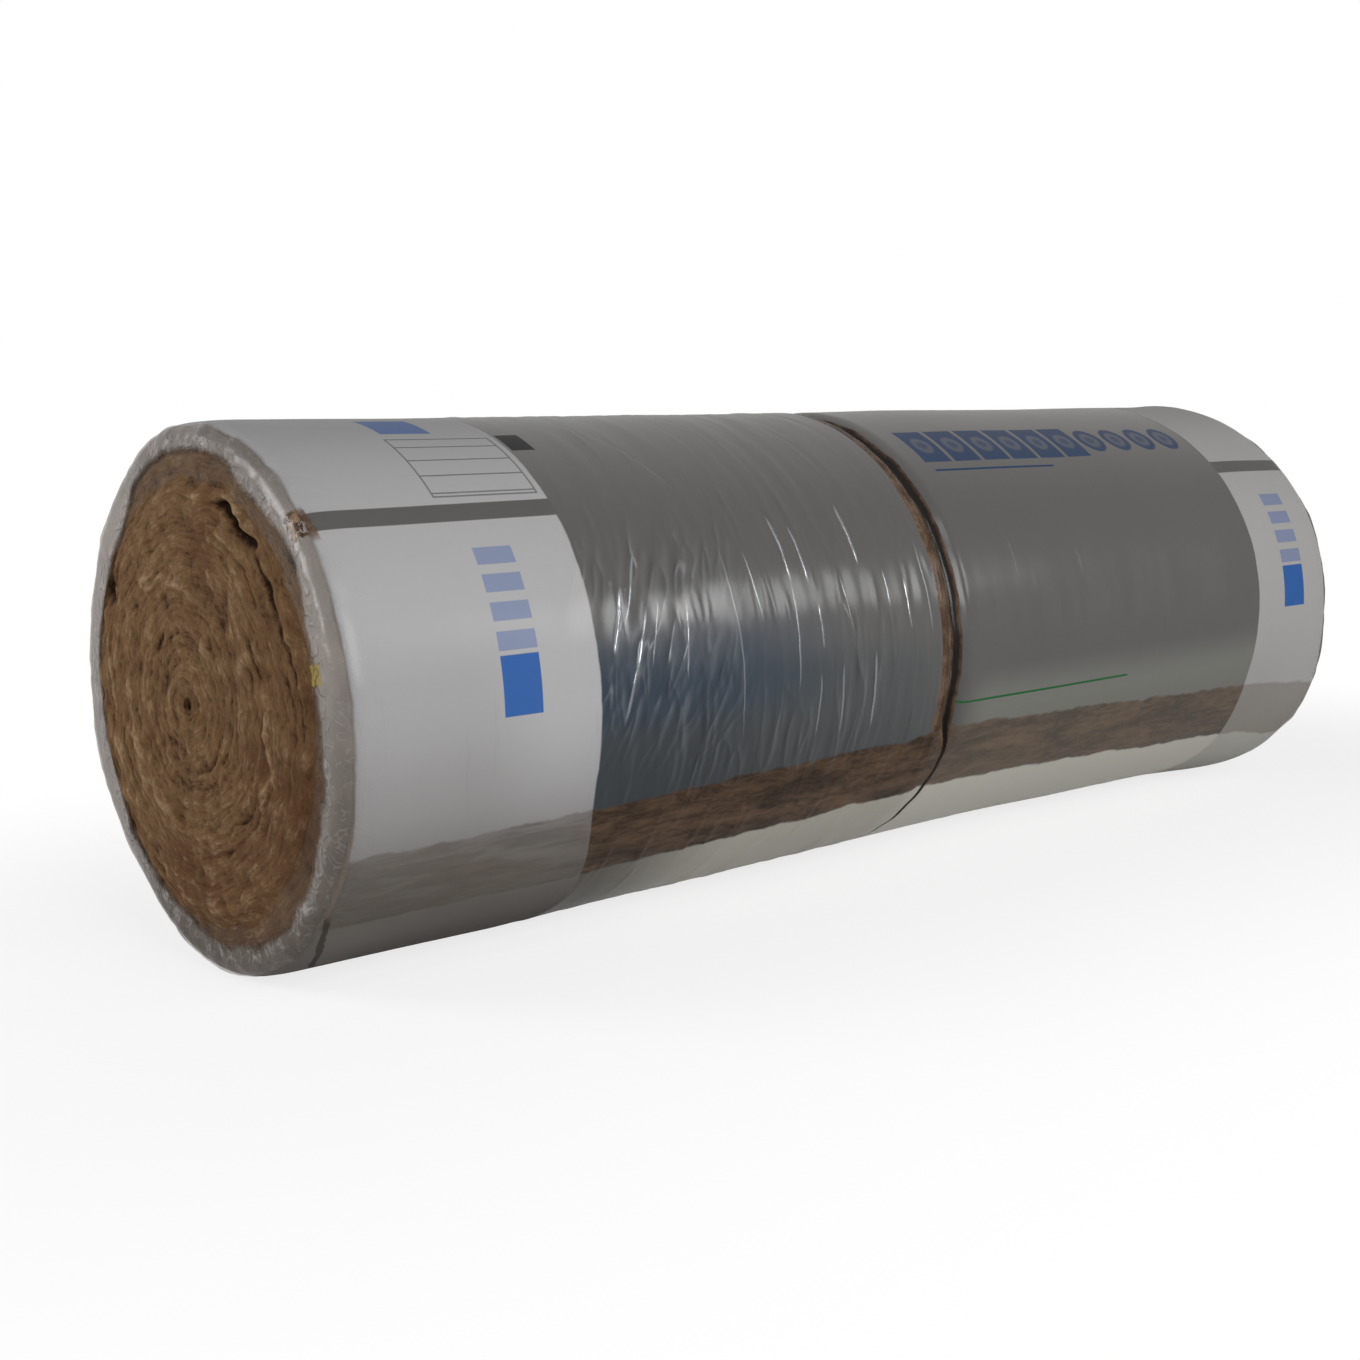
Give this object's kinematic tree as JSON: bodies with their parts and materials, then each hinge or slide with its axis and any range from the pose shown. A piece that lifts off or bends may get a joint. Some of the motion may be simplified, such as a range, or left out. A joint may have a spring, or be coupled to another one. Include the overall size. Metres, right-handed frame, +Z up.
{
  "type": "insulation roll",
  "caption": "Long roll of brown mineral wool insulation: half-rolls wound without a core lie end to end in one tight silver and white film wrap that leaves their ends open.",
  "frame": {"origin": "bottom centre of the roll as it lies, on the floor under the gap between the half-rolls", "axes": "+X along the roll from the near half-roll to the far one, +Y to the back, +Z up"},
  "size_m": [1.2, 0.3962, 0.3961],
  "materials": {
    "wool": "matte, fibrous brown mineral wool with dark gaps between the turns",
    "film": "glossy wrinkled polyethylene film, printed silver grey in the middle and translucent white at both ends"
  },
  "bodies": {
    "root": {"wool_roll_near": "wool", "wool_roll_far": "wool", "film_wrap": "film"}
  },
  "joints": []
}
